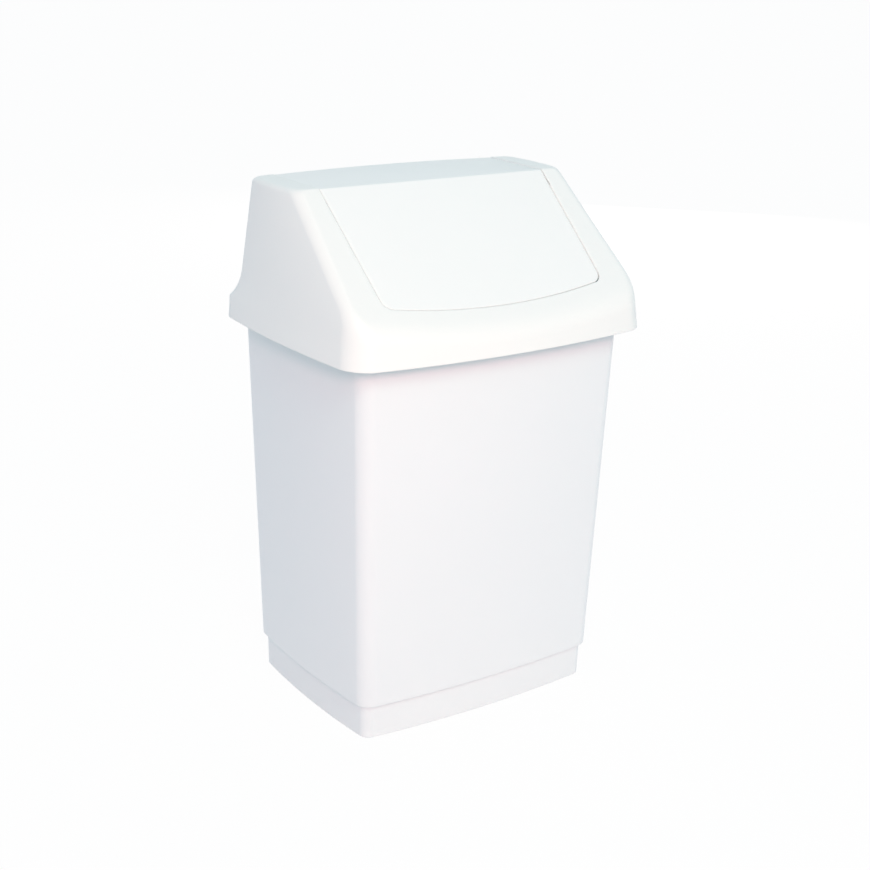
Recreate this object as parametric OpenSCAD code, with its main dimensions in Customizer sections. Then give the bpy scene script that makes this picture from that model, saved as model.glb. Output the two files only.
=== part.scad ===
// Small kitchen bin: a tapered bin body, a hood that lifts off its rim, and a
// saddle-shaped flap that swings on two pivot pins in the hood's cheeks.
// Front is -Y, the bin stands on z = 0, and x = 0 is the plane of symmetry.
// Widths and depths are taken at the corners; the walls bow out beyond them.

/* [Overall] */
// Height of the hood's flat top above the bin's rim
hood_rise = 98.8; // [92:0.1:106]
// Wall thickness of the bin body
body_wall = 2.2; // [1.6:0.1:3]
// Wall thickness of the hood and the flap
hood_wall = 2.2; // [1.6:0.1:3]

/* [Bin body] */
// Height of the rim above the floor
rim_h = 312; // [290:1:320]
// Height of the recessed plinth
plinth_h = 28; // [16:1:40]
// Width of the plinth at the floor
plinth_w = 211.2; // [200:0.1:225]
// Depth of the plinth at the floor
plinth_d = 156.8; // [145:0.1:165]
// How far the plinth widens on each side up to the step
plinth_flare = 0.5; // [0:0.1:2]
// How far the body stands out past the plinth
step = 3.4; // [2:0.1:5]
// Width of the body at the rim
rim_w = 235.8; // [232:0.1:242]
// Depth of the body at the rim
rim_d = 176.8; // [170:0.1:177.5]
// Corner radius of the body
body_r = 10.5; // [8:0.5:16]
// Bow of the front and back walls at the plinth
plinth_bow_y = 5.8; // [2:0.1:10]
// Bow of the side walls at the plinth
plinth_bow_x = 4.4; // [1:0.1:6]
// Bow of the front and back walls at the rim
rim_bow_y = 11.3; // [6:0.1:11.8]
// Bow of the side walls at the rim
rim_bow_x = 5.6; // [2:0.1:6]
// Thickness of the floor
floor_t = 3; // [2:0.1:5]
// How far the rim's lip stands out from the wall
lip_w = 3.3; // [2.8:0.1:3.7]
// Height of the lip's turned-down edge
lip_h = 7; // [5:0.5:10]

/* [Hood] */
// How far the skirt hangs below the rim
skirt_drop = 12; // [8:1:18]
// Gap between the rim's lip and the skirt on each side
side_gap = 7.8; // [2:0.1:12]
// Gap between the rim's lip and the skirt in front
front_gap = 6.3; // [2:0.1:12]
// Gap between the rim's lip and the skirt behind
back_gap = 0.5; // [0.4:0.1:5]
// Corner radius of the skirt
skirt_r = 17.7; // [12:0.5:22]
// How much more than the rim the skirt bows at the front and the back
skirt_more_bow = 0.4; // [0:0.1:3]
// Bow of the cheeks at the lower edge
skirt_bow_x = 5.1; // [4.5:0.1:7]
// Bow of the cheeks at the top
top_bow_x = 2.4; // [1:0.1:5]
// Draft of the skirt's front and back, in mm for each mm of height
draft = 0.09; // [0.05:0.01:0.12]
// Draft of the cheeks, in mm for each mm of height
cheek_draft = 0.103; // [0.08:0.001:0.12]
// Place of the crest, where the top meets the slope, behind the bin's centre
crest_y = -1.4; // [-5:0.1:5]
// Angle of the front slope to the floor, in degrees
slope_angle = 40; // [38:0.1:42]
// Blend between the slope and the skirt
crease_r = 9; // [4:0.5:14]
// Radius of the crest
crest_r = 3; // [1:0.5:5]
// Place of the back wall's upper edge behind the bin's centre
back_y = 67; // [66:0.1:72]
// Bow of the back wall at its upper edge
back_bow = 10.8; // [4:0.1:11]
// Draft of the back wall, in mm for each mm of height
back_draft = 0.077; // [0.04:0.001:0.12]
// Height of the skirt's upright band at the back
band_h = 16; // [12:0.5:20]
// Height of the flare between that band and the back wall
flare_h = 25; // [18:0.5:28]
// Radius of the edge between the slope and a cheek
cheek_r = 7; // [3:0.5:9]
// Corner radius of the back wall's upper end
back_r = 6; // [4:0.5:12]
// Radius round the flat top
top_r = 4; // [3:0.5:6]
// Thickness of a seating rib
rib_t = 2; // [1.5:0.1:3]

/* [Flap] */
// Width of the flap
flap_w = 202.6; // [195:0.1:208]
// How much the front panel narrows on each side down to its foot
flap_taper = 3; // [2:0.1:8]
// Depth of the flap's face below the hood's face
flap_recess = 0.5; // [0.3:0.1:1.5]
// Seam between the flap and the hood
seam = 0.5; // [0.4:0.1:1.5]
// Length of the flap's front panel down the slope, from the crest
flap_len = 120.8; // [110:0.1:125]
// Radius of the front panel's lower edge
arc_r = 480; // [350:5:600]
// Radius of the front panel's lower corners
flap_corner_r = 10; // [8:0.5:18]
// Height of the flap's back panel
back_panel_h = 66; // [50:0.5:67]
// Depth of the stiffening web below each side edge of the flap
flap_web = 5; // [3:0.5:6]
// Thickness of the webs on the flap and the hood
web_t = 2.2; // [1.6:0.1:3]

/* [Pivot] */
// Place of the pivot axis behind the bin's centre, over the flap's balance point
pivot_y = 11.2; // [10:0.1:13]
// Depth of the pivot axis below the hood's top
pivot_drop = 12; // [11:0.5:14]
// Radius of the pivot pins
pin_r = 3; // [2:0.1:4]
// Radial running clearance of the pins in their bores
pin_clear = 0.08; // [0.03:0.01:0.1]
// Radius of the eye round each pin
eye_r = 7; // [6:0.5:8]
// Length of the bore in each pivot boss
bore_len = 7; // [5:0.5:9]
// Radius of the stop pegs
peg_r = 2; // [1.5:0.1:2.5]
// Distance of the stop pegs from the pivot axis
peg_reach = 12; // [11:0.5:14]
// Swing of the flap, in degrees, at which its front panel has gone in and meets a peg
swing_in = 80; // [60:1:85]
// Swing of the flap, in degrees, at which its front panel has come out and meets a peg
swing_out = 75; // [60:1:85]

/* [Hidden] */
plastic = [0.95, 0.95, 0.93];
$fn = 48;
// segments of one outline: along the front, along a side, round a corner
front_n = 14;
side_n = 8;
corner_n = 6;
ring_n = 2 * front_n + 2 * side_n + 4 * corner_n;
// rings up the hood's skirt and shoulder, and round its top edge
low_n = 9;
top_n = 4;
// small rounding of moulded edges
edge = 0.8;
far = 200;

total_h = rim_h + hood_rise;
hood_z = rim_h - skirt_drop;
// the hood's lower edge, as far outside the lip as the gaps ask for at the rim's height
lip_to_skirt = lip_w + hood_wall + draft * skirt_drop;
hood_w = rim_w + 2 * (lip_w + hood_wall + side_gap + cheek_draft * skirt_drop);
hood_front = rim_d / 2 + lip_to_skirt + front_gap;
hood_back = rim_d / 2 + lip_to_skirt + back_gap;
skirt_bow_y = rim_bow_y + skirt_more_bow;
flare_z = hood_z + band_h;
shoulder_z = flare_z + flare_h;
slope_run = 1 / tan(slope_angle);
slope_skew = sqrt(1 + slope_run * slope_run);
pivot_z = total_h - pivot_drop;
opening_w = flap_w + 2 * seam;
// depth of the webs' lower edges, and their distances from the pivot axis at rest
web_depth = hood_wall + flap_web;
top_gap = pivot_drop - web_depth;
slope_gap = (pivot_y - crest_y) * sin(slope_angle) + pivot_drop * cos(slope_angle) - web_depth;
// places of the stop pegs round the pivot, in degrees behind straight down
peg_leans = [
    swing_in + slope_angle + acos((slope_gap - peg_r) / peg_reach) - 180,
    180 - swing_out - acos((top_gap - peg_r) / peg_reach)
];
back_edge_z = total_h - back_panel_h;
back_reach = norm([back_wall_y(back_edge_z) + back_bow - pivot_y, back_edge_z - pivot_z]);
rib_h = 20;
// how far the webs stop above the back panel's lower edge
web_gap = 4;
rib_x = [-75, 0, 75];
rib_y = [-45, 45];

function lerp(a, b, t) = a + (b - a) * t;
function clamp(t) = max(0, min(1, t));
function smooth(t) = clamp(t) * clamp(t) * (3 - 2 * clamp(t));
// the larger of two values, blended where they are within k of each other
function soft_max(a, b, k) = max(a, b) + pow(max(0, k - abs(a - b)), 2) / (4 * k);

// Points of a rounded rectangle, counter-clockwise from its front left: half-width a,
// front edge y0, back edge y1, front corners with half-axes r0 and back corners of radius r1
function arc(cx, cy, r, from) =
    [for (i = [0:corner_n - 1]) let (t = from + 90 * i / corner_n) [cx + r.x * cos(t), cy + r.y * sin(t)]];
function edge_line(p, q, n) = [for (i = [0:n - 1]) p + (q - p) * i / n];
function rounded(a, y0, y1, r0, r1) = concat(
    edge_line([r0.x - a, y0], [a - r0.x, y0], front_n),
    arc(a - r0.x, y0 + r0.y, r0, -90),
    edge_line([a, y0 + r0.y], [a, y1 - r1], side_n),
    arc(a - r1, y1 - r1, [r1, r1], 0),
    edge_line([a - r1, y1], [r1 - a, y1], front_n),
    arc(r1 - a, y1 - r1, [r1, r1], 90),
    edge_line([-a, y1 - r1], [-a, y0 + r0.y], side_n),
    arc(r0.x - a, y0 + r0.y, r0, 180)
);

// A ring at height z: half-size a by b, radius r, walls bowed out by bow_x and bow_y
function bowed_ring(z, a, b, r, bow_x, bow_y) =
    [for (p = rounded(a, -b, b, [r, r], r))
        let (u = p.x / a, v = p.y / b)
        [p.x + bow_x * u * (1 - v * v), p.y + bow_y * v * (1 - u * u), z]];

// Rings of the plinth and of the body, e outside their outer faces
function plinth_ring(z, e) =
    let (grow = plinth_flare * z / plinth_h + e)
    bowed_ring(z, plinth_w / 2 + grow, plinth_d / 2 + grow, body_r - step + e, plinth_bow_x, plinth_bow_y);
function body_ring(z, e) =
    let (t = (z - plinth_h) / (rim_h - plinth_h), base = plinth_flare + step)
    bowed_ring(z,
        lerp(plinth_w / 2 + base, rim_w / 2, t) + e,
        lerp(plinth_d / 2 + base, rim_d / 2, t) + e,
        body_r + e,
        lerp(plinth_bow_x, rim_bow_x, t),
        lerp(plinth_bow_y, rim_bow_y, t));

// The hood's faces, each moved inwards by t
function hood_draft(z) = draft * (z - hood_z);
function top_inset(z, t) =
    let (r = max(edge, top_r - t), d = z - (total_h - t - r))
    d <= 0 ? 0 : r - sqrt(max(0, r * r - d * d));
function hood_half_w(z, t) = hood_w / 2 - cheek_draft * (z - hood_z) - t;
function slope_y(z, t) = crest_y - (total_h - z) * slope_run + t * slope_skew;
// the slope with its crest rounded over, from the slope's plane to the top's
function crested_y(z, t) =
    let (
        r = max(edge, crest_r - t),
        tangent = r * tan(slope_angle / 2),
        rise = z - (total_h - t - r)
    )
    z < total_h - t - tangent * sin(slope_angle)
        ? slope_y(z, t)
        : slope_y(total_h - t, t) + tangent - sqrt(max(0, r * r - rise * rise));
function front_at(x, z, t) =
    let (u = x / hood_half_w(z, t))
    soft_max(crested_y(z, t), t + hood_draft(z) - hood_front - skirt_bow_y * (1 - u * u), crease_r);
function flare_share(z) = pow(1 - clamp((z - flare_z) / flare_h), 2);
function back_wall_y(z) = back_y + (total_h - z) * back_draft;
function back_line(z, t) =
    lerp(min(back_wall_y(z), hood_back), hood_back - hood_draft(z), flare_share(z)) - t;
function back_bow_at(z) = lerp(back_bow, skirt_bow_y, flare_share(z));
function back_at(x, z, t) =
    let (u = x / hood_half_w(z, t))
    back_line(z, t) + back_bow_at(z) * (1 - u * u);
function cheek_bow_at(z) = lerp(skirt_bow_x, top_bow_x, (z - hood_z) / (total_h - hood_z));
// how far the bow moves a cheek out at y, where the cheek runs from y0 to y1
function cheek_bow(y, y0, y1, z) = cheek_bow_at(z) * (1 - pow((2 * y - y0 - y1) / (y1 - y0), 2));
function cheek_x(y, z, t) =
    let (a = hood_half_w(z, t))
    a + cheek_bow(y, front_at(a, z, t), back_line(z, t), z);
// where a front corner's rounding ends on the cheek: along the slope's edge, then down the skirt
function corner_end_y(z) = soft_max(
    crested_y(z, 0) + cheek_r * slope_skew,
    hood_draft(z) - hood_front + skirt_r,
    crease_r
);

// A ring round the hood at height z, moved inwards by t
function hood_ring(z, t) =
    let (
        inset = top_inset(z, t),
        a = hood_half_w(z, t) - inset,
        y0 = front_at(a, z, t),
        y1 = back_line(z, t) - inset,
        front_r = corner_end_y(z) - front_at(a, z, 0),
        spread = (front_r - cheek_r * slope_skew) / (skirt_r - cheek_r * slope_skew),
        side_r = lerp(cheek_r, skirt_r, spread),
        r1 = lerp(skirt_r, back_r, smooth((z - hood_z) / (shoulder_z - hood_z)))
    )
    [for (p = rounded(a, y0, y1, [max(edge, side_r - t), max(edge, front_r - t)], max(edge, r1 - t)))
        let (
            u = p.x / a,
            v = (2 * p.y - y0 - y1) / (y1 - y0),
            front_move = front_at(p.x, z, t) - y0,
            back_move = back_bow_at(z) * (1 - u * u)
        )
        [
            p.x + u * cheek_bow(p.y, y0, y1, z),
            p.y + max(0, -v) * front_move + max(0, v) * back_move,
            z
        ]];
function hood_levels(t) =
    let (r = max(edge, top_r - t))
    concat(
        [for (i = [0:low_n]) lerp(hood_z, shoulder_z, i / low_n)],
        [for (i = [0:top_n]) total_h - t - r * (1 - sin(90 * i / top_n))]
    );

// A closed solid through a list of rings; joined makes the last ring meet the first
module rings_solid(rings, joined) {
    count = len(rings);
    strips = joined ? count : count - 1;
    points = [for (ring = rings) each ring];
    walls = [for (k = [0:strips - 1], i = [0:ring_n - 1])
        let (
            j = (i + 1) % ring_n,
            lower = k * ring_n,
            upper = ((k + 1) % count) * ring_n
        )
        each [[lower + i, upper + i, upper + j], [lower + i, upper + j, lower + j]]];
    first_cap = [for (i = [0:ring_n - 1]) i];
    last_cap = [for (i = [ring_n - 1:-1:0]) (count - 1) * ring_n + i];
    polyhedron(points, joined ? walls : concat(walls, [first_cap, last_cap]), convexity = 10);
}

// The bin body: one wall from the middle of the underside, over the rim, to the floor inside
module bin_body() {
    lip_in = lip_w - body_wall;
    ledge_z = plinth_h + body_wall;
    color(plastic) rings_solid([
        plinth_ring(0, -edge),
        plinth_ring(edge, 0),
        plinth_ring(plinth_h, 0),
        body_ring(plinth_h, -edge),
        body_ring(plinth_h + edge, 0),
        body_ring(rim_h - body_wall, 0),
        body_ring(rim_h - body_wall, lip_in),
        body_ring(rim_h - lip_h, lip_in),
        body_ring(rim_h - lip_h, lip_w),
        body_ring(rim_h - edge, lip_w),
        body_ring(rim_h, lip_w - edge),
        body_ring(rim_h, edge - body_wall),
        body_ring(rim_h - edge, -body_wall),
        body_ring(ledge_z, -body_wall),
        plinth_ring(ledge_z, -body_wall),
        plinth_ring(2 * floor_t, -body_wall),
        plinth_ring(floor_t, -body_wall - floor_t)
    ], false);
}

// A wall all round, the given depth below the hood's face, with neither opening nor fittings
module hood_shell(depth) {
    inside = depth + hood_wall;
    outer = [for (z = hood_levels(depth)) hood_ring(z, depth)];
    inner = [for (z = hood_levels(inside)) hood_ring(z, inside)];
    difference() {
        rings_solid(outer, false);
        rings_solid(concat([hood_ring(hood_z - edge, inside)], inner), false);
    }
}

// The flap's front panel seen square to the slope: x across, y down from the crest
module panel_outline(w, len) {
    half = w / 2;
    corner_x = half - flap_taper - flap_corner_r;
    deep_r = arc_r - flap_corner_r;
    turn = asin(corner_x / deep_r);
    corner_y = len - arc_r + deep_r * cos(turn);
    right = [for (i = [0:corner_n]) let (t = lerp(turn, 90, i / corner_n))
        [corner_x + flap_corner_r * sin(t), corner_y + flap_corner_r * cos(t)]];
    bottom = [for (i = [1:front_n - 1]) let (t = lerp(-turn, turn, i / front_n))
        [arc_r * sin(t), len - arc_r + arc_r * cos(t)]];
    left = [for (i = [corner_n:-1:0]) [-right[i].x, right[i].y]];
    polygon(concat([[-half, 0]], left, bottom, right, [[half, 0]]));
}

// The space of the flap, or with grow > 0 of the opening round it; at the back it
// ends on a cylinder round the pivot axis, so the lower edge can swing past
module flap_space(grow) {
    w = flap_w + 2 * grow;
    union() {
        translate([0, crest_y, total_h])
            rotate([180 + slope_angle, 0, 0])
                translate([0, 0, -pivot_drop / 2])
                    linear_extrude(pivot_drop)
                        panel_outline(w, flap_len + grow);
        intersection() {
            translate([-w / 2, crest_y - pivot_drop, back_edge_z - pivot_drop])
                cube([w, far, far]);
            translate([-w / 2, pivot_y, pivot_z])
                rotate([0, 90, 0])
                    cylinder(h = w, r = back_reach + grow);
        }
    }
}

// A web that follows the hood's side view, from depth near down to web_depth; it ends
// where the front panel's corner and the back panel end
function web_line(x, depth) = [
    [slope_y(total_h - web_end, depth), total_h - web_end],
    [slope_y(total_h - depth, depth), total_h - depth],
    [back_at(x, total_h - depth, depth), total_h - depth],
    [back_at(x, back_edge_z + web_gap, depth), back_edge_z + web_gap]
];
web_end = (flap_len - 2 * flap_corner_r) * sin(slope_angle);
module side_web(x, near) {
    line = web_line(x, near);
    under = web_line(x, web_depth);
    polygon(concat(line, [for (i = [len(under) - 1:-1:0]) under[i]]));
}

// Turns a side view, drawn as y across and z up, into a plate from x to x + t
module plate_at(x, t) {
    translate([x, 0, 0])
        rotate([90, 0, 90])
            linear_extrude(t)
                children();
}

module pivot_circle(r) {
    translate([pivot_y, pivot_z])
        circle(r);
}

// One rib under the slope or behind the back wall; it sits on the rim
module front_rib(x) {
    inset = hood_wall / 2;
    seat_y = -rim_d / 2 - rim_bow_y * (1 - pow(2 * x / rim_w, 2));
    top_z = total_h - (crest_y + inset * slope_skew - seat_y) / slope_run;
    wall = [for (i = [0:3]) let (z = lerp(rim_h, top_z, i / 3)) [front_at(x, z, inset), z]];
    plate_at(x - rib_t / 2, rib_t)
        polygon(concat([[seat_y, rim_h]], wall));
}
module back_rib(x) {
    seat_y = rim_d / 2 - body_wall / 2;
    bow = rim_bow_y * (1 - pow(2 * x / rim_w, 2));
    wall = [for (i = [0:4]) let (z = rim_h + rib_h * i / 4) [back_at(x, z, hood_wall / 2), z]];
    plate_at(x - rib_t / 2, rib_t)
        polygon(concat([[seat_y + bow, rim_h]], wall));
}
module cheek_rib(y) {
    top_z = rim_h + rib_h;
    seat_x = rim_w / 2 + rim_bow_x * (1 - pow(2 * y / rim_d, 2));
    translate([0, y + rib_t / 2, 0])
        rotate([90, 0, 0])
            linear_extrude(rib_t)
                polygon([
                    [seat_x, rim_h],
                    [cheek_x(y, rim_h, hood_wall / 2), rim_h],
                    [cheek_x(y, top_z, hood_wall / 2), top_z]
                ]);
}

// Circles at the stop pegs, and the plate that carries them below the pivot's eye
module peg_circles(r) {
    for (lean = peg_leans)
        translate([pivot_y + peg_reach * sin(lean), pivot_z - peg_reach * cos(lean)])
            circle(r);
}
module peg_plate() {
    r = peg_r + edge;
    peg_circles(r);
    for (lean = peg_leans)
        translate([pivot_y, pivot_z])
            rotate([0, 0, lean])
                translate([-r, -peg_reach])
                    square([2 * r, peg_reach]);
}

// Web, pivot boss and stop peg on one side of the hood's opening
module hood_side() {
    x = opening_w / 2;
    difference() {
        union() {
            plate_at(x, web_t) union() {
                side_web(x, hood_wall / 2);
                pivot_circle(eye_r);
                peg_plate();
            }
            plate_at(x, bore_len) pivot_circle(eye_r - 1);
        }
        plate_at(x - 1, bore_len + 2) pivot_circle(pin_r + pin_clear);
    }
    peg_len = seam + flap_taper + web_t + edge;
    plate_at(x - peg_len, peg_len + edge) peg_circles(peg_r);
}

module hood() {
    color(plastic) union() {
        difference() {
            hood_shell(0);
            flap_space(seam);
        }
        hood_side();
        mirror([1, 0, 0]) hood_side();
        for (x = rib_x) {
            front_rib(x);
            back_rib(x);
        }
        for (y = rib_y) {
            cheek_rib(y);
            mirror([1, 0, 0]) cheek_rib(y);
        }
    }
}

// Web, eye and pivot pin on one side of the flap; the web stands above the panel's foot
module flap_side() {
    x = flap_w / 2 - flap_taper;
    plate_at(x - web_t, web_t) union() {
        side_web(x, flap_recess + hood_wall / 2);
        pivot_circle(eye_r);
    }
    plate_at(x - web_t, web_t + flap_taper + seam + bore_len) pivot_circle(pin_r);
}

module flap() {
    color(plastic) union() {
        intersection() {
            hood_shell(flap_recess);
            flap_space(0);
        }
        flap_side();
        mirror([1, 0, 0]) flap_side();
    }
}

bin_body();
hood();
flap();
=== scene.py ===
"""Looks of a swing-lid kitchen bin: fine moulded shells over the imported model, plastic materials,
a pale floor, soft lights and the camera. Front is -Y, up is +Z; sizes below are in millimetres."""
import math

import bmesh
import bpy
import numpy as np
from mathutils import Matrix, Vector


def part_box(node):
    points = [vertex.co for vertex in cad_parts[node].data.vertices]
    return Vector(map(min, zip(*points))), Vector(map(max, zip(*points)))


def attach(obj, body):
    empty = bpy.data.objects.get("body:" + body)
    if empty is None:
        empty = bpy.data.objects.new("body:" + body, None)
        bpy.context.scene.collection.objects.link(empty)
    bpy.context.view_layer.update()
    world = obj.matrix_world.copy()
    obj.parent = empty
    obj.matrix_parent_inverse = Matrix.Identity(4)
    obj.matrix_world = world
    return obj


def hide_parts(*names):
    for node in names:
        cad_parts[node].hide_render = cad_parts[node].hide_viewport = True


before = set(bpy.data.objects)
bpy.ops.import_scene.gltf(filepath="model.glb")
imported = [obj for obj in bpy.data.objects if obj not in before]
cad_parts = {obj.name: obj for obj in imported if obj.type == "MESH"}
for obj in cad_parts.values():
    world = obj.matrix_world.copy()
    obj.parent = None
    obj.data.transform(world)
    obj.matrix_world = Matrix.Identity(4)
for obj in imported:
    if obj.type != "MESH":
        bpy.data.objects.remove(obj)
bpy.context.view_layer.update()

MM = 0.001

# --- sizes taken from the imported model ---
HOOD_Z, TOP_Z = (corner.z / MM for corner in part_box("hood"))
RIM_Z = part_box("bin_body")[1].z / MM

# --- bin body ---
WALL = 2.2
PLINTH_Z = 28
PLINTH_HALF_W, PLINTH_HALF_D, PLINTH_R = 105.6, 78.4, 7.1
PLINTH_FLARE, STEP = 0.5, 3.4
RIM_HALF_W, RIM_HALF_D, BODY_R = 117.9, 88.4, 10.5
PLINTH_BOW_X, PLINTH_BOW_Y = 4.4, 5.8
RIM_BOW_X, RIM_BOW_Y = 5.6, 11.3
FLOOR_T = 3
LIP_W, LIP_H = 3.3, 7
BODY_EDGE_R, SOLE_INSET = 0.9, 3.6

# --- hood ---
HOOD_HALF_W, HOOD_FRONT, HOOD_BACK = 132.44, 101.28, 95.48
SKIRT_R, SKIRT_BOW_X, SKIRT_BOW_Y = 17.7, 5.1, 11.7
TOP_BOW_X = 2.4
DRAFT, CHEEK_DRAFT, BACK_DRAFT = 0.09, 0.103, 0.077
CREST_Y, CREST_R = -1.4, 3
SLOPE = math.radians(40)
CREASE_R = 9
BACK_Y, BACK_BOW = 67, 10.8
BAND_H, FLARE_H = 16, 25
CHEEK_R, BACK_R, TOP_R = 7, 6, 4
MIN_R = 0.8

# --- flap, pivot and stops ---
FLAP_W, TAPER, RECESS, SEAM = 202.6, 3, 0.5, 0.5
FLAP_LEN, ARC_R, FLAP_CORNER_R = 120.8, 480, 10
BACK_PANEL_H = 66
WEB, WEB_T = 5, 2.2
WEB_END = 4
PIVOT_Y, PIVOT_DROP = 11.2, 12
PIN_R, PIN_CLEAR, EYE_R, BORE_LEN = 3, 0.08, 7, 7
BOSS_R, BOSS_SINK = 6, 0.2
PEG_R, PEG_REACH, ARM_START = 2, 12, 4
SWING_IN, SWING_OUT = math.radians(80), math.radians(75)
RIB_T, RIB_H = 2, 20
RIB_X, RIB_Y = (-75, 0, 75), (-45, 45)
# pins and pegs sink this far into their webs, pegs reach this far past the flap's web, and an arm
# is wider than its peg by this much on either side
ROOT = 0.8
# from the opening's side walls to the fittings behind them, so that no two faces coincide
FITTING_GAP = 0.15

# --- cutter that takes two flats off an edge of the seam, measured from the edge ---
FLAT_REACH = 1.2   # how far its section reaches along either face
FLAT_DEPTH = 0.21  # where the two flats meet, below both faces
FLAT_CLEAR = 0.3   # how far its back stands out of both faces

FLARE_Z = HOOD_Z + BAND_H
SHOULDER_Z = FLARE_Z + FLARE_H
PIVOT_Z = TOP_Z - PIVOT_DROP
BACK_EDGE_Z = TOP_Z - BACK_PANEL_H
SLOPE_RUN = 1 / math.tan(SLOPE)
SLOPE_SKEW = 1 / math.sin(SLOPE)

# points of one outline along the front, along a side and round a corner, rings of a fillet and
# points of a small circle
FRONT_N, SIDE_N, CORNER_N, FILLET_N, CIRCLE_N = 80, 56, 20, 5, 48
SHARP_ANGLE = math.radians(35)  # edges that turn further than this are shaded sharp


# --- mesh helpers ---
def lerp(a, b, t):
    return a + (b - a) * t


def smooth(t):
    t = min(1, max(0, t))
    return t * t * (3 - 2 * t)


def new_object(name, points, faces):
    """An object from points in millimetres and lists of corner numbers."""
    mesh = bpy.data.meshes.new(name)
    mesh.from_pydata([tuple(v * MM for v in p) for p in points], [], faces)
    mesh.validate()
    mesh.update()
    obj = bpy.data.objects.new(name, mesh)
    bpy.context.scene.collection.objects.link(obj)
    return obj


def loft(name, rings):
    """A closed solid through rings of equal length, capped at both ends."""
    n = len(rings[0])
    points = [p for ring in rings for p in ring]
    faces = []
    for k in range(len(rings) - 1):
        low, high = k * n, (k + 1) * n
        for i in range(n):
            j = (i + 1) % n
            faces.append((low + i, low + j, high + j, high + i))
    faces.append(tuple(range(n - 1, -1, -1)))
    faces.append(tuple((len(rings) - 1) * n + i for i in range(n)))
    return new_object(name, points, faces)


def prism(name, outline, direction, height):
    """A plate from a closed outline of 3-D points, moved along a direction."""
    n = len(outline)
    move = np.array(direction, float) * height
    points = [tuple(p) for p in outline] + [tuple(np.array(p, float) + move) for p in outline]
    faces = [(i, (i + 1) % n, n + (i + 1) % n, n + i) for i in range(n)]
    faces.append(tuple(range(n - 1, -1, -1)))
    faces.append(tuple(range(n, 2 * n)))
    obj = new_object(name, points, faces)
    tidy_normals(obj)
    return obj


def tidy_normals(obj):
    bm = bmesh.new()
    bm.from_mesh(obj.data)
    bmesh.ops.recalc_face_normals(bm, faces=bm.faces)
    bm.to_mesh(obj.data)
    bm.free()


def apply_modifiers(obj):
    depsgraph = bpy.context.evaluated_depsgraph_get()
    mesh = bpy.data.meshes.new_from_object(obj.evaluated_get(depsgraph))
    obj.modifiers.clear()
    old = obj.data
    obj.data = mesh
    bpy.data.meshes.remove(old)


def boolean(obj, cutter, operation):
    step = obj.modifiers.new("cut", "BOOLEAN")
    step.object = cutter
    step.operation = operation
    step.solver = "EXACT"
    apply_modifiers(obj)


def remove(obj):
    bpy.data.objects.remove(obj)


def shade_by_angle(obj):
    bm = bmesh.new()
    bm.from_mesh(obj.data)
    for edge in bm.edges:
        edge.smooth = len(edge.link_faces) == 2 and edge.calc_face_angle(0) < SHARP_ANGLE
    for face in bm.faces:
        face.smooth = True
    bm.to_mesh(obj.data)
    bm.free()


def join(obj, others):
    """Puts the meshes of the others into obj, and removes them."""
    bm = bmesh.new()
    bm.from_mesh(obj.data)
    for other in others:
        bm.from_mesh(other.data)
        remove(other)
    bm.to_mesh(obj.data)
    bm.free()


# --- outlines ---
def straight(p, q, n):
    t = np.arange(n)[:, None] / n
    return np.array(p) + (np.array(q) - np.array(p)) * t


def arc(cx, cy, r, start):
    """A quarter of an ellipse with the half-axes r, from the start angle in degrees."""
    t = np.radians(start + 90 * np.arange(CORNER_N) / CORNER_N)
    return np.column_stack([cx + r[0] * np.cos(t), cy + r[1] * np.sin(t)])


def rounded(a, y0, y1, r0, r1):
    """A rounded rectangle: half-width a, front y0, back y1, corner half-axes r0 in front, r1 behind."""
    return np.vstack([
        straight((r0[0] - a, y0), (a - r0[0], y0), FRONT_N),
        arc(a - r0[0], y0 + r0[1], r0, -90),
        straight((a, y0 + r0[1]), (a, y1 - r1[1]), SIDE_N),
        arc(a - r1[0], y1 - r1[1], r1, 0),
        straight((a - r1[0], y1), (r1[0] - a, y1), FRONT_N),
        arc(r1[0] - a, y1 - r1[1], r1, 90),
        straight((-a, y1 - r1[1]), (-a, y0 + r0[1]), SIDE_N),
        arc(r0[0] - a, y0 + r0[1], r0, 180),
    ])


def bowed_ring(z, a, b, r, bow_x, bow_y):
    """A level ring of the bin body: half-width a, half-depth b, corners r, sides bowed outwards."""
    p = rounded(a, -b, b, (r, r), (r, r))
    u, v = p[:, 0] / a, p[:, 1] / b
    x = p[:, 0] + bow_x * u * (1 - v * v)
    y = p[:, 1] + bow_y * v * (1 - u * u)
    return np.column_stack([x, y, np.full(len(p), z)])


# --- bin body ---
def plinth_ring(z, out):
    grow = PLINTH_FLARE * z / PLINTH_Z + out
    return bowed_ring(z, PLINTH_HALF_W + grow, PLINTH_HALF_D + grow, PLINTH_R + out,
                      PLINTH_BOW_X, PLINTH_BOW_Y)


def body_ring(z, out):
    t = (z - PLINTH_Z) / (RIM_Z - PLINTH_Z)
    base = PLINTH_FLARE + STEP
    return bowed_ring(z, lerp(PLINTH_HALF_W + base, RIM_HALF_W, t) + out,
                      lerp(PLINTH_HALF_D + base, RIM_HALF_D, t) + out, BODY_R + out,
                      lerp(PLINTH_BOW_X, RIM_BOW_X, t), lerp(PLINTH_BOW_Y, RIM_BOW_Y, t))


def fillet(z, out, r, start, turn, ring):
    """Rings round an edge: a quarter circle of radius r about height z and offset out."""
    angles = [math.radians(start + turn * i / FILLET_N) for i in range(FILLET_N + 1)]
    return [ring(z + r * math.sin(t), out + r * math.cos(t)) for t in angles]


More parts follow.
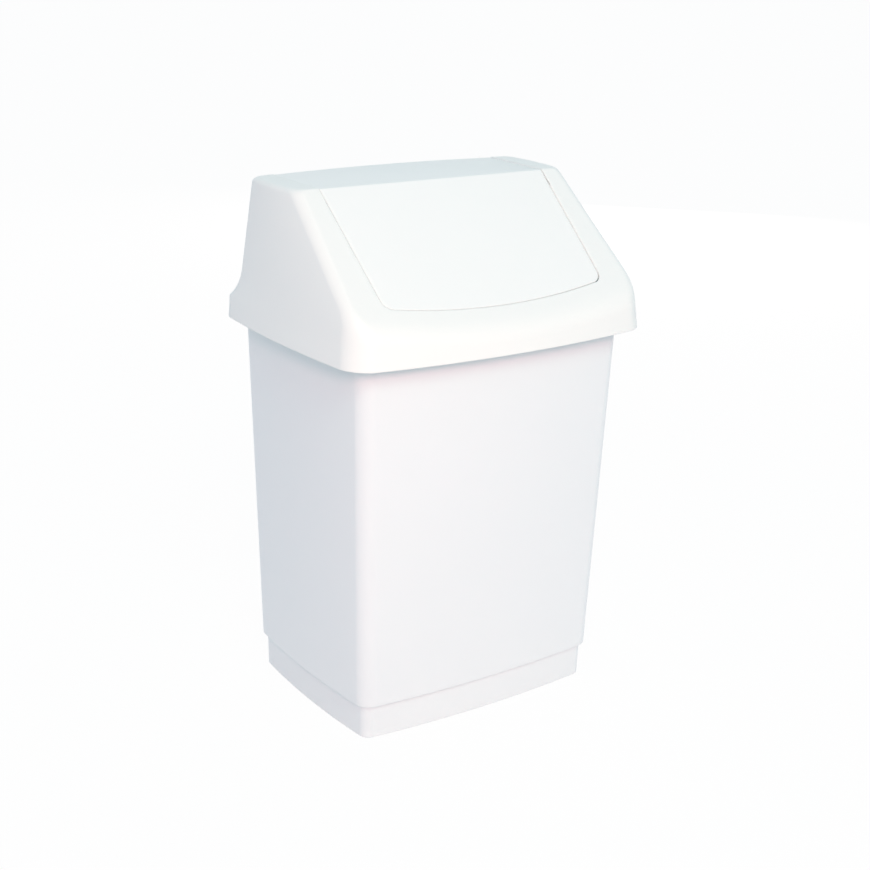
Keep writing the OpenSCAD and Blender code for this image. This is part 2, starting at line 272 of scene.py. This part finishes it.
def make_body():
    """One closed wall: up the outside, over the rim and down the inside to the floor. The evenly
    spaced rings of each straight stretch keep clear of the rounded edges."""
    r = BODY_EDGE_R
    ledge = PLINTH_Z + WALL
    lip_in = LIP_W - WALL
    rings = [plinth_ring(0, -SOLE_INSET)]
    rings += fillet(r, -r, r, -90, 90, plinth_ring)
    rings += [plinth_ring(z, 0) for z in np.linspace(3, PLINTH_Z - 1, 5)]
    rings += [plinth_ring(PLINTH_Z, 0)]
    rings += fillet(PLINTH_Z + r, -r, r, -90, 90, body_ring)
    rings += [body_ring(z, 0) for z in np.linspace(PLINTH_Z + 4, RIM_Z - 6, 40)]
    rings += [body_ring(RIM_Z - WALL, 0), body_ring(RIM_Z - WALL, lip_in)]
    rings += [body_ring(RIM_Z - LIP_H, lip_in), body_ring(RIM_Z - LIP_H, LIP_W)]
    rings += fillet(RIM_Z - r, LIP_W - r, r, 0, 90, body_ring)
    rings += fillet(RIM_Z - r, -WALL + r, r, 90, 90, body_ring)
    rings += [body_ring(z, -WALL) for z in np.linspace(RIM_Z - 6, ledge + 3, 30)]
    rings += [body_ring(ledge, -WALL), plinth_ring(ledge, -WALL)]
    rings += [plinth_ring(z, -WALL) for z in np.linspace(ledge - 2, 2 * FLOOR_T, 6)]
    rings += fillet(2 * FLOOR_T, -WALL - FLOOR_T, FLOOR_T, 0, -90, plinth_ring)
    body = loft("bin_shell", rings)
    tidy_normals(body)
    shade_by_angle(body)
    return body


# --- hood surfaces, each moved inwards by t ---
def hood_draft(z):
    return DRAFT * (z - HOOD_Z)


def half_w(z, t):
    return HOOD_HALF_W - CHEEK_DRAFT * (z - HOOD_Z) - t


def cheek_bow(y, y0, y1, z):
    """How far the bow moves a cheek out at y, where the cheek runs from y0 to y1."""
    bow = lerp(SKIRT_BOW_X, TOP_BOW_X, (z - HOOD_Z) / (TOP_Z - HOOD_Z))
    return bow * (1 - ((2 * y - y0 - y1) / (y1 - y0)) ** 2)


def cheek_x(y, z, t):
    a = half_w(z, t)
    return a + cheek_bow(y, float(front_at(a, z, t)), back_line(z, t), z)


def top_inset(z, t):
    r = max(MIN_R, TOP_R - t)
    d = z - (TOP_Z - t - r)
    return 0 if d <= 0 else r - math.sqrt(max(0, r * r - d * d))


def slope_y(z, t):
    return CREST_Y - (TOP_Z - z) * SLOPE_RUN + t * SLOPE_SKEW


def crested_y(z, t):
    r = max(MIN_R, CREST_R - t)
    tangent = r * math.tan(SLOPE / 2)
    if z < TOP_Z - t - tangent * math.sin(SLOPE):
        return slope_y(z, t)
    rise = z - (TOP_Z - t - r)
    return slope_y(TOP_Z - t, t) + tangent - math.sqrt(max(0, r * r - rise * rise))


def soft_max(a, b, k):
    return np.maximum(a, b) + np.maximum(0, k - np.abs(a - b)) ** 2 / (4 * k)


def front_at(x, z, t):
    u = x / half_w(z, t)
    skirt = t + hood_draft(z) - HOOD_FRONT - SKIRT_BOW_Y * (1 - u * u)
    return soft_max(crested_y(z, t), skirt, CREASE_R)


def flare_share(z):
    return (1 - min(1, max(0, (z - FLARE_Z) / FLARE_H))) ** 2


def back_wall_y(z):
    return BACK_Y + (TOP_Z - z) * BACK_DRAFT


def back_line(z, t):
    return lerp(min(back_wall_y(z), HOOD_BACK), HOOD_BACK - hood_draft(z), flare_share(z)) - t


def back_bow_at(z):
    return lerp(BACK_BOW, SKIRT_BOW_Y, flare_share(z))


def back_at(x, z, t):
    u = x / half_w(z, t)
    return back_line(z, t) + back_bow_at(z) * (1 - u * u)


def corner_end_y(z):
    """Where a front corner's rounding ends on the cheek: along the slope's edge, then down the skirt."""
    return float(soft_max(crested_y(z, 0) + CHEEK_R * SLOPE_SKEW,
                          hood_draft(z) - HOOD_FRONT + SKIRT_R, CREASE_R))


def hood_ring(z, t):
    inset = top_inset(z, t)
    a = half_w(z, t) - inset
    y0 = float(front_at(a, z, t))
    y1 = back_line(z, t) - inset
    front_r = corner_end_y(z) - float(front_at(a, z, 0))
    edge_r = CHEEK_R * SLOPE_SKEW
    side_r = lerp(CHEEK_R, SKIRT_R, (front_r - edge_r) / (SKIRT_R - edge_r))
    back_r = max(MIN_R, lerp(SKIRT_R, BACK_R, smooth((z - HOOD_Z) / (SHOULDER_Z - HOOD_Z))) - t)
    p = rounded(a, y0, y1, (max(MIN_R, side_r - t), max(MIN_R, front_r - t)), (back_r, back_r))
    u, v = p[:, 0] / a, (2 * p[:, 1] - y0 - y1) / (y1 - y0)
    front_move = front_at(p[:, 0], z, t) - y0
    back_move = back_bow_at(z) * (1 - u * u)
    x = p[:, 0] + u * cheek_bow(p[:, 1], y0, y1, z)
    y = p[:, 1] + np.maximum(0, -v) * front_move + np.maximum(0, v) * back_move
    return np.column_stack([x, y, np.full(len(p), z)])


def hood_levels(t):
    r = max(MIN_R, TOP_R - t)
    skirt = np.linspace(HOOD_Z + MIN_R, SHOULDER_Z, 40)
    slope = np.linspace(SHOULDER_Z, TOP_Z - t - r, 40)[1:-1]
    edge = [TOP_Z - t - r * (1 - math.sin(math.pi / 2 * i / 10)) for i in range(11)]
    return list(skirt) + list(slope) + edge


def make_hood_shell(name, depth):
    """The hood's wall, or at a depth below its face the flap's."""
    r = MIN_R
    middle = depth + WALL / 2
    outer = [hood_ring(z, depth) for z in hood_levels(depth)]
    inner = [hood_ring(z, depth + WALL) for z in hood_levels(depth + WALL)]
    foot = [hood_ring(HOOD_Z + r - r * math.cos(a), middle - (WALL / 2) * math.sin(a))
            for a in np.radians((0, 22.5, 45, 67.5))]
    foot_in = [hood_ring(HOOD_Z + r - r * math.cos(a), middle + (WALL / 2) * math.sin(a))
               for a in np.radians((67.5, 45, 22.5))]
    shell = loft(name, inner[::-1] + foot_in + foot + outer)
    tidy_normals(shell)
    return shell


# --- flap outline and cutters ---
def panel_outline(width, length):
    """The front panel seen square to the slope: (x, distance down from the crest)."""
    half, r = width / 2, FLAP_CORNER_R
    corner_x = half - TAPER - r
    deep_r = ARC_R - r
    turn = math.asin(corner_x / deep_r)
    corner_y = length - ARC_R + deep_r * math.cos(turn)
    right = [(corner_x + r * math.sin(t), corner_y + r * math.cos(t))
             for t in np.linspace(turn, math.pi / 2, 13)]
    bottom = [(ARC_R * math.sin(t), length - ARC_R + ARC_R * math.cos(t))
              for t in np.linspace(-turn, turn, 41)[1:-1]]
    left = [(-x, y) for x, y in right[::-1]]
    return [(-half, 0)] + left + bottom + right + [(half, 0)]


def on_slope(x, down, up):
    """A point of the slope's plane: x across, down from the crest, up off the surface."""
    y = CREST_Y - down * math.cos(SLOPE) - up * math.sin(SLOPE)
    z = TOP_Z - down * math.sin(SLOPE) + up * math.cos(SLOPE)
    return x, y, z


def make_cutter(grow):
    """The space of the flap, or with grow > 0 of the hood's opening round it."""
    width = FLAP_W + 2 * grow
    depth = PIVOT_DROP / 2
    outline = [on_slope(x, down, -depth) for x, down in panel_outline(width, FLAP_LEN + grow)]
    normal = np.array(on_slope(0, 0, 1)) - np.array(on_slope(0, 0, 0))
    front = prism("front_cutter", outline, normal, 2 * depth)
    corner = (BACK_Y + (TOP_Z - BACK_EDGE_Z) * BACK_DRAFT + BACK_BOW - PIVOT_Y, BACK_EDGE_Z - PIVOT_Z)
    reach = math.hypot(*corner) + grow
    near_y = CREST_Y - PIVOT_DROP
    low = BACK_EDGE_Z - PIVOT_DROP
    start = math.asin((low - PIVOT_Z) / reach)
    stop = math.pi - math.acos((PIVOT_Y - near_y) / reach)
    arc_points = [(-width / 2, PIVOT_Y + reach * math.cos(t), PIVOT_Z + reach * math.sin(t))
                  for t in np.linspace(start, stop, 97)]
    rear = prism("rear_cutter", arc_points + [(-width / 2, near_y, low)], (1, 0, 0), width)
    boolean(front, rear, "UNION")
    remove(rear)
    return front


# --- rounded edges along the seam ---
def side_profile(x, t):
    """The hood's side view at x, t below its face: (y, z) from the slope over the top to the flap's end."""
    slope_z = TOP_Z - t - 2  # a point on the slope, below the crest's rounding
    r = max(MIN_R, CREST_R - t)
    start = slope_y(TOP_Z - t, t) + r * math.tan(SLOPE / 2)
    crest = [(start - r * math.sin(a), TOP_Z - t - r + r * math.cos(a)) for a in np.linspace(SLOPE, 0, 6)]
    r = max(MIN_R, TOP_R - t)
    levels = [TOP_Z - t - r + r * math.cos(a) for a in np.linspace(0, math.pi / 2, 7)]
    levels += list(np.linspace(TOP_Z - t - r, BACK_EDGE_Z, 16)[1:])
    back = []
    for z in levels:
        inset = top_inset(z, t)
        u = x / (half_w(z, t) - inset)
        back.append((back_line(z, t) - inset + back_bow_at(z) * (1 - u * u), z))
    return [(slope_y(slope_z, t), slope_z)] + crest + back


def seam_frames(grow, depth):
    """Points along the seam's edge, each with the face's normal and the direction away from the flap."""
    half = FLAP_W / 2 + grow
    profile = np.array(side_profile(half, depth))
    run = np.gradient(profile, axis=0)
    run /= np.linalg.norm(run, axis=1)[:, None]
    sides = {}
    for sign in (-1, 1):
        sides[sign] = [((sign * half, y, z), (0, -dz, dy), (sign, 0, 0))
                       for (y, z), (dy, dz) in zip(profile, run)]
    outline = np.array(panel_outline(2 * half, FLAP_LEN + grow))
    turn = np.gradient(outline, axis=0)
    turn /= np.linalg.norm(turn, axis=1)[:, None]
    origin = np.array(on_slope(0, 0, 0))
    normal = np.array(on_slope(0, 0, 1)) - origin
    down = np.array(on_slope(0, 1, 0)) - origin
    panel = [(on_slope(x, d, -depth), normal, np.array((-td, 0, 0)) + tx * down)
             for (x, d), (tx, td) in list(zip(outline, turn))[1:-1]]
    return sides[-1][::-1] + panel + sides[1]


def round_seam_edge(obj, grow, depth, side):
    """Takes two narrow flats off the hood's edge (side 1) or the flap's (side -1) along the seam."""
    section = [(-FLAT_CLEAR, -FLAT_REACH), (FLAT_DEPTH, -FLAT_DEPTH), (FLAT_REACH, FLAT_CLEAR),
               (-FLAT_CLEAR, FLAT_CLEAR)]
    points = []
    for place, normal, away in seam_frames(grow, depth):
        for s, n in section:
            points.append(tuple(np.array(place) + side * s * np.array(away) + n * np.array(normal)))
    n = len(section)
    faces = [(k + i, k + (i + 1) % n, k + n + (i + 1) % n, k + n + i)
             for k in range(0, len(points) - n, n) for i in range(n)]
    faces += [tuple(range(n)), tuple(len(points) - 1 - i for i in range(n))]
    cutter = new_object("seam_edge", points, faces)
    tidy_normals(cutter)
    boolean(obj, cutter, "DIFFERENCE")
    remove(cutter)


# --- fittings inside the hood and the flap ---
def side_web(near, depth):
    """Side view of a web under the slope, the top and the back, as (y, z) points."""
    x = FLAP_W / 2
    end = (FLAP_LEN - 2 * FLAP_CORNER_R) * math.sin(SLOPE)

    def line(d):
        foot = TOP_Z - end
        back = BACK_EDGE_Z + WEB_END
        return [(slope_y(foot, d), foot), (slope_y(TOP_Z - d, d), TOP_Z - d),
                (float(back_at(x, TOP_Z - d, d)), TOP_Z - d), (float(back_at(x, back, d)), back)]
    return line(near) + line(depth)[::-1]


def circle(y, z, r):
    angles = np.linspace(0, 2 * math.pi, CIRCLE_N + 1)[:-1]
    return [(y + r * math.cos(t), z + r * math.sin(t)) for t in angles]


def side_plate(name, outline, x0, x1):
    """A plate whose side view is an outline of (y, z) points, from x0 to x1."""
    return prism(name, [(x0, y, z) for y, z in outline], (1, 0, 0), x1 - x0)


def tube(name, y, z, r_out, r_in, x0, x1):
    """A short tube along X."""
    n = CIRCLE_N
    points, faces = [], []
    for x, r in ((x0, r_out), (x1, r_out), (x1, r_in), (x0, r_in)):
        points += [(x, py, pz) for py, pz in circle(y, z, r)]
    for k in range(4):
        low, high = k * n, ((k + 1) % 4) * n
        faces += [(low + i, low + (i + 1) % n, high + (i + 1) % n, high + i) for i in range(n)]
    obj = new_object(name, points, faces)
    tidy_normals(obj)
    return obj


def peg_leans():
    """How far the two pegs' arms lean from straight down, so that the webs meet the pegs at full swing."""
    web_depth = WALL + WEB
    top_gap = PIVOT_DROP - web_depth
    slope_gap = (PIVOT_Y - CREST_Y) * math.sin(SLOPE) + PIVOT_DROP * math.cos(SLOPE) - web_depth
    return (SWING_IN + SLOPE + math.acos((slope_gap - PEG_R) / PEG_REACH) - math.pi,
            math.pi - SWING_OUT - math.acos((top_gap - PEG_R) / PEG_REACH))


def mirrored(obj):
    """A copy of obj on the other side of x = 0."""
    other = obj.copy()
    other.data = obj.data.copy()
    other.data.transform(Matrix.Diagonal((-1, 1, 1, 1)))
    other.data.flip_normals()
    bpy.context.scene.collection.objects.link(other)
    return other


def hood_fittings():
    """On each side the web beside the opening, the pivot's eye and boss, and two stop pegs on arms."""
    x = FLAP_W / 2 + SEAM + FITTING_GAP
    parts = [
        side_plate("web", side_web(WALL / 2, WALL + WEB), x, x + WEB_T),
        tube("eye", PIVOT_Y, PIVOT_Z, EYE_R, PIN_R + PIN_CLEAR, x, x + WEB_T),
        tube("boss", PIVOT_Y, PIVOT_Z, BOSS_R, PIN_R + PIN_CLEAR, x + WEB_T - BOSS_SINK, x + BORE_LEN),
    ]
    for lean in peg_leans():
        y = PIVOT_Y + PEG_REACH * math.sin(lean)
        z = PIVOT_Z - PEG_REACH * math.cos(lean)
        r = PEG_R + ROOT
        side = np.array((math.cos(lean), math.sin(lean))) * r
        start = np.array((PIVOT_Y, PIVOT_Z)) + np.array((math.sin(lean), -math.cos(lean))) * ARM_START
        arm = [tuple(start - side), (y - side[0], z - side[1]), (y + side[0], z + side[1]),
               tuple(start + side)]
        parts.append(side_plate("arm", arm, x, x + WEB_T))
        parts.append(side_plate("arm_end", circle(y, z, r), x, x + WEB_T))
        peg_end = x - SEAM - TAPER - WEB_T - ROOT
        parts.append(side_plate("peg", circle(y, z, PEG_R), peg_end, x + ROOT))
    return parts + [mirrored(p) for p in parts]


def seating_ribs():
    """Upright ribs from the inside of the hood's wall to the rim, in front, behind and at the sides."""
    parts = []
    inset = WALL / 2
    for x in RIB_X:
        bow = RIM_BOW_Y * (1 - (x / RIM_HALF_W) ** 2)
        seat = -RIM_HALF_D - bow
        top = TOP_Z - (CREST_Y + inset * SLOPE_SKEW - seat) / SLOPE_RUN
        wall = [(float(front_at(x, z, inset)), z) for z in np.linspace(RIM_Z, top, 4)]
        parts.append(side_plate("rib", [(seat, RIM_Z)] + wall, x - RIB_T / 2, x + RIB_T / 2))
        seat = RIM_HALF_D - inset + bow
        wall = [(float(back_at(x, z, inset)), z) for z in np.linspace(RIM_Z, RIM_Z + RIB_H, 5)]
        parts.append(side_plate("rib", [(seat, RIM_Z)] + wall, x - RIB_T / 2, x + RIB_T / 2))
    for y in RIB_Y:
        seat = RIM_HALF_W + RIM_BOW_X * (1 - (y / RIM_HALF_D) ** 2)
        high = RIM_Z + RIB_H
        near = y - RIB_T / 2
        outline = [(seat, near, RIM_Z), (float(cheek_x(y, RIM_Z, inset)), near, RIM_Z),
                   (float(cheek_x(y, high, inset)), near, high)]
        rib = prism("rib", outline, (0, 1, 0), RIB_T)
        parts += [rib, mirrored(rib)]
    return parts


def make_hood():
    hood = make_hood_shell("hood_shell", 0)
    opening = make_cutter(SEAM)
    boolean(hood, opening, "DIFFERENCE")
    remove(opening)
    round_seam_edge(hood, SEAM, 0, 1)
    join(hood, hood_fittings() + seating_ribs())
    shade_by_angle(hood)
    return hood


def make_flap():
    flap = make_hood_shell("flap_panel", RECESS)
    space = make_cutter(0)
    boolean(flap, space, "INTERSECT")
    remove(space)
    round_seam_edge(flap, 0, RECESS, -1)
    x = FLAP_W / 2 - TAPER
    parts = [
        side_plate("web", side_web(RECESS + WALL / 2, WALL + WEB), x - WEB_T, x),
        side_plate("eye", circle(PIVOT_Y, PIVOT_Z, EYE_R), x - WEB_T, x),
        side_plate("pin", circle(PIVOT_Y, PIVOT_Z, PIN_R), x - ROOT, x + TAPER + SEAM + BORE_LEN),
    ]
    join(flap, parts + [mirrored(p) for p in parts])
    shade_by_angle(flap)
    return flap


# --- materials ---
FLOW_SCALE, FLOW_TONE = 9, 0.985
GLOSS_SCALE, GLOSS_SPREAD = 38, 0.04


def plastic(name, colour, roughness, grain, grain_depth, coat):
    """Moulded plastic: a fine surface grain, faint flow marks and a slightly uneven gloss."""
    mat = bpy.data.materials.new(name)
    mat.use_nodes = True
    nodes, links = mat.node_tree.nodes, mat.node_tree.links
    shader = nodes["Principled BSDF"]
    shader.inputs["IOR"].default_value = 1.49
    shader.inputs["Coat Weight"].default_value = coat
    shader.inputs["Coat Roughness"].default_value = 0.12
    shader.inputs["Subsurface Weight"].default_value = 0.0
    place = nodes.new("ShaderNodeTexCoord")

    def noise(scale, detail):
        node = nodes.new("ShaderNodeTexNoise")
        node.inputs["Scale"].default_value = scale
        node.inputs["Detail"].default_value = detail
        links.new(place.outputs["Object"], node.inputs["Vector"])
        return node.outputs["Fac"]

    flow = noise(FLOW_SCALE, 3)
    tone = nodes.new("ShaderNodeMix")
    tone.data_type = "RGBA"
    tone.inputs["A"].default_value = (*[c * FLOW_TONE for c in colour], 1)
    tone.inputs["B"].default_value = (*colour, 1)
    links.new(flow, tone.inputs["Factor"])
    links.new(tone.outputs["Result"], shader.inputs["Base Color"])

    gloss = nodes.new("ShaderNodeMapRange")
    gloss.inputs["To Min"].default_value = roughness - GLOSS_SPREAD
    gloss.inputs["To Max"].default_value = roughness + GLOSS_SPREAD
    links.new(noise(GLOSS_SCALE, 4), gloss.inputs["Value"])
    links.new(gloss.outputs["Result"], shader.inputs["Roughness"])

    bump = nodes.new("ShaderNodeBump")
    bump.inputs["Strength"].default_value = 0.35
    bump.inputs["Distance"].default_value = grain_depth
    links.new(noise(grain, 2), bump.inputs["Height"])
    links.new(bump.outputs["Normal"], shader.inputs["Normal"])
    return mat


def dress(obj, body, node, material):
    """Gives a piece its material and says which body it rides and which node it replaces."""
    obj.data.materials.clear()
    obj.data.materials.append(material)
    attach(obj, body)
    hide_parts(node)


# --- studio ---
FLOOR_SIZE, FLOOR_WHITE = 12, 0.96  # half the side in metres, and the share of white that is seen
WORLD_COLOUR, WORLD_STRENGTH = (0.667, 0.856, 1.0), 0.639


def seen_rays(nodes, links):
    """1 for rays that show the background: from the camera, a reflection or a see-through surface."""
    path = nodes.new("ShaderNodeLightPath")
    total = path.outputs["Is Camera Ray"]
    for name in ("Is Glossy Ray", "Is Transmission Ray"):
        larger = nodes.new("ShaderNodeMath")
        larger.operation = "MAXIMUM"
        links.new(total, larger.inputs[0])
        links.new(path.outputs[name], larger.inputs[1])
        total = larger.outputs[0]
    return total


def make_floor():
    a = FLOOR_SIZE
    mesh = bpy.data.meshes.new("floor")
    mesh.from_pydata([(-a, -a, 0), (a, -a, 0), (a, a, 0), (-a, a, 0)], [], [(0, 1, 2, 3)])
    floor = bpy.data.objects.new("floor", mesh)
    bpy.context.scene.collection.objects.link(floor)
    mat = bpy.data.materials.new("floor")
    mat.use_nodes = True
    nodes, links = mat.node_tree.nodes, mat.node_tree.links
    shader = nodes["Principled BSDF"]
    shader.inputs["Base Color"].default_value = (0.9, 0.9, 0.9, 1)
    shader.inputs["Roughness"].default_value = 0.9
    shader.inputs["Specular IOR Level"].default_value = 0.1
    white = nodes.new("ShaderNodeEmission")
    white.inputs["Strength"].default_value = 1
    share = nodes.new("ShaderNodeMath")
    share.operation = "MULTIPLY"
    share.inputs[1].default_value = FLOOR_WHITE
    links.new(seen_rays(nodes, links), share.inputs[0])
    mix = nodes.new("ShaderNodeMixShader")
    links.new(share.outputs[0], mix.inputs["Fac"])
    links.new(shader.outputs["BSDF"], mix.inputs[1])
    links.new(white.outputs["Emission"], mix.inputs[2])
    links.new(mix.outputs["Shader"], nodes["Material Output"].inputs["Surface"])
    floor.data.materials.append(mat)


def make_world():
    world = bpy.data.worlds.new("studio")
    world.use_nodes = True
    nodes, links = world.node_tree.nodes, world.node_tree.links
    ambient = nodes["Background"]
    ambient.inputs["Color"].default_value = (*WORLD_COLOUR, 1)
    ambient.inputs["Strength"].default_value = WORLD_STRENGTH
    white = nodes.new("ShaderNodeBackground")
    white.inputs["Color"].default_value = (1, 1, 1, 1)
    mix = nodes.new("ShaderNodeMixShader")
    links.new(seen_rays(nodes, links), mix.inputs["Fac"])
    links.new(ambient.outputs["Background"], mix.inputs[1])
    links.new(white.outputs["Background"], mix.inputs[2])
    links.new(mix.outputs["Shader"], nodes["World Output"].inputs["Surface"])
    bpy.context.scene.world = world


def area_light(name, place, size, power, colour, mirrored_in_gloss=True):
    """A soft lamp at a place in metres, turned to the bin's middle."""
    lamp = bpy.data.lights.new(name, "AREA")
    lamp.shape = "RECTANGLE"
    lamp.size, lamp.size_y = size
    lamp.energy = power
    lamp.color = colour
    obj = bpy.data.objects.new(name, lamp)
    bpy.context.scene.collection.objects.link(obj)
    obj.location = place
    aim = Vector((0, 0, TOP_Z * MM / 2)) - obj.location
    obj.rotation_euler = aim.to_track_quat("-Z", "Y").to_euler()
    obj.visible_glossy = mirrored_in_gloss


def make_camera():
    """The photograph's view: azimuth, elevation and roll in degrees, the rest in metres."""
    azimuth, elevation, roll = (math.radians(v) for v in (-35.492, 18.435, 1.702))
    distance, aim = 1.2676, Vector((0.02459, 0, 0.20711))
    back = Vector((math.sin(azimuth) * math.cos(elevation), -math.cos(azimuth) * math.cos(elevation),
                   math.sin(elevation)))
    right = (-back).cross(Vector((0, 0, 1))).normalized()
    up = right.cross(-back)
    turned_right = right * math.cos(roll) + up * math.sin(roll)
    turned_up = up * math.cos(roll) - right * math.sin(roll)
    camera = bpy.data.cameras.new("camera")
    camera.sensor_width = 36
    camera.lens = 64.969
    camera.shift_x, camera.shift_y = -0.02123, -0.00856
    camera.clip_end = 50
    obj = bpy.data.objects.new("camera", camera)
    bpy.context.scene.collection.objects.link(obj)
    turn = Matrix((turned_right, turned_up, back)).transposed().to_4x4()
    obj.matrix_world = Matrix.Translation(aim + back * distance) @ turn
    bpy.context.scene.camera = obj


make_camera()
make_world()
make_floor()
area_light("key", (-1.26, -2.36, 1.57), (0.7, 0.7), 40.8, (1.0, 0.55, 0.49))
area_light("high", (-0.5, -2.0, 2.2), (0.8, 0.8), 19.7, (0.675, 1.0, 0.802))
area_light("behind", (1.5, 1.6, 0.3), (0.8, 0.5), 24, (1.0, 0.78, 0.68), False)

dress(make_body(), "bin", "bin_body",
      plastic("body_plastic", (0.834, 0.859, 0.869), 0.3, 900, 0.00003, 0.15))
dress(make_hood(), "hood", "hood",
      plastic("hood_plastic", (0.88, 0.895, 0.875), 0.45, 1500, 0.00006, 0))
dress(make_flap(), "flap", "flap",
      plastic("flap_plastic", (0.895, 0.91, 0.895), 0.45, 1500, 0.00006, 0))

view = bpy.context.scene.view_settings
view.view_transform = "Standard"
